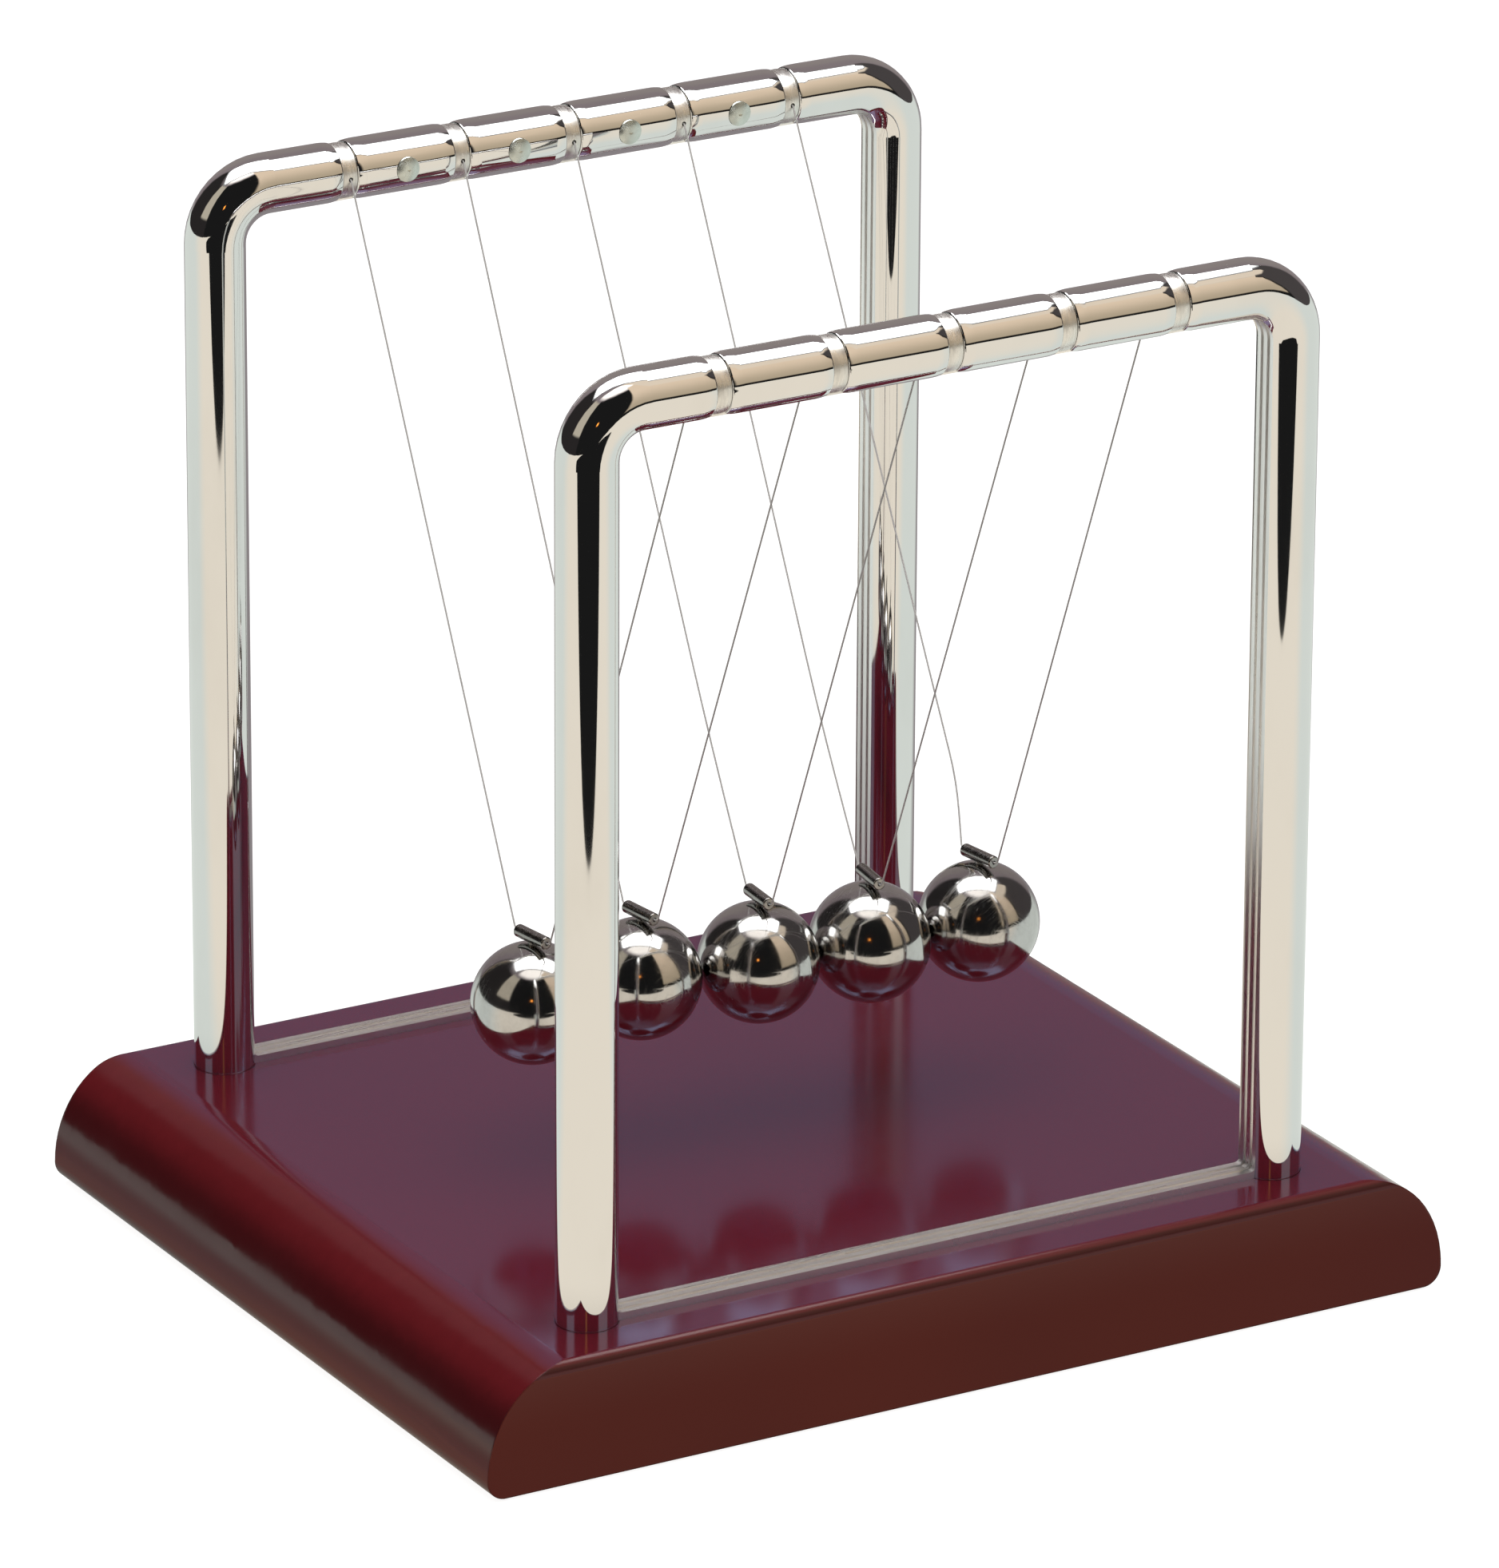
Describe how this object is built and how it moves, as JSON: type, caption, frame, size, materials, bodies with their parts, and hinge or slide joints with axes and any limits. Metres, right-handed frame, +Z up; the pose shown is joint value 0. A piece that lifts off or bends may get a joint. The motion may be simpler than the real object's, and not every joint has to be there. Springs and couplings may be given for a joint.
{
  "type": "newtons cradle",
  "caption": "Desk toy with a row of touching steel balls hung on V-shaped lines between two bent tube frames on a gloss wooden base; an end ball swings out and knocks the far one away.",
  "frame": {"origin": "middle of the plane the foot pads stand on, under the middle of the base", "axes": "+X along the row of balls, +Y from the front frame to the rear frame, +Z up"},
  "size_m": [0.18, 0.152, 0.1807],
  "materials": {
    "lacquered_wood": "dark red-brown wood under a deep clear gloss lacquer",
    "chrome_tube": "mirror-bright plated surface",
    "chrome_strip": "bright plated, ribbed lengthwise",
    "satin_band": "satin, fine streaks running round the bar",
    "stud_metal": "satin plated",
    "crimp_metal": "plain",
    "plug_plastic": "moulded",
    "fixing_steel": "zinc plated",
    "pad_rubber": "matt",
    "polished_steel": "mirror-polished ball, lightly handled",
    "eyelet_steel": "dark drawn tube",
    "nylon_line": "clear grey monofilament"
  },
  "bodies": {
    "stand": {"base_board": "lacquered_wood", "foot_pad_1": "pad_rubber", "foot_pad_2": "pad_rubber", "foot_pad_3": "pad_rubber", "foot_pad_4": "pad_rubber", "front_frame_tube": "chrome_tube", "rear_frame_tube": "chrome_tube", "front_inner_strip": "chrome_strip", "rear_inner_strip": "chrome_strip", "front_bar_studs": "stud_metal", "rear_bar_studs": "stud_metal", "front_line_stops": "crimp_metal", "rear_line_stops": "crimp_metal", "front_ring_band_1": "satin_band", "front_ring_band_2": "satin_band", "front_ring_band_3": "satin_band", "front_ring_band_4": "satin_band", "front_ring_band_5": "satin_band", "rear_ring_band_1": "satin_band", "rear_ring_band_2": "satin_band", "rear_ring_band_3": "satin_band", "rear_ring_band_4": "satin_band", "rear_ring_band_5": "satin_band", "front_left_leg_plug": "plug_plastic", "front_right_leg_plug": "plug_plastic", "rear_left_leg_plug": "plug_plastic", "rear_right_leg_plug": "plug_plastic", "fixing_screws": "fixing_steel", "fixing_washers": "fixing_steel"},
    "pendulum_1": {"ball_1": "polished_steel", "eyelet_1": "eyelet_steel", "line_1": "nylon_line"},
    "pendulum_2": {"ball_2": "polished_steel", "eyelet_2": "eyelet_steel", "line_2": "nylon_line"},
    "pendulum_3": {"ball_3": "polished_steel", "eyelet_3": "eyelet_steel", "line_3": "nylon_line"},
    "pendulum_4": {"ball_4": "polished_steel", "eyelet_4": "eyelet_steel", "line_4": "nylon_line"},
    "pendulum_5": {"ball_5": "polished_steel", "eyelet_5": "eyelet_steel", "line_5": "nylon_line"}
  },
  "joints": [
    {"name": "swing_1", "type": "hinge", "parent": "stand", "child": "pendulum_1", "pos_m": [-0.04205, 0, 0.17535], "axis": [-0.0069, -1, 0], "range_deg": [-60, 0]},
    {"name": "swing_2", "type": "hinge", "parent": "stand", "child": "pendulum_2", "pos_m": [-0.02105, 0, 0.17535], "axis": [-0.0069, -1, 0], "range_deg": [-0.05, 0.05]},
    {"name": "swing_3", "type": "hinge", "parent": "stand", "child": "pendulum_3", "pos_m": [-0.00005, 0, 0.17535], "axis": [-0.0069, -1, 0], "range_deg": [-0.05, 0.05]},
    {"name": "swing_4", "type": "hinge", "parent": "stand", "child": "pendulum_4", "pos_m": [0.02095, 0, 0.17535], "axis": [-0.0069, -1, 0], "range_deg": [-0.05, 0.05]},
    {"name": "swing_5", "type": "hinge", "parent": "stand", "child": "pendulum_5", "pos_m": [0.04195, 0, 0.17535], "axis": [-0.0069, -1, 0], "range_deg": [0, 60]}
  ]
}
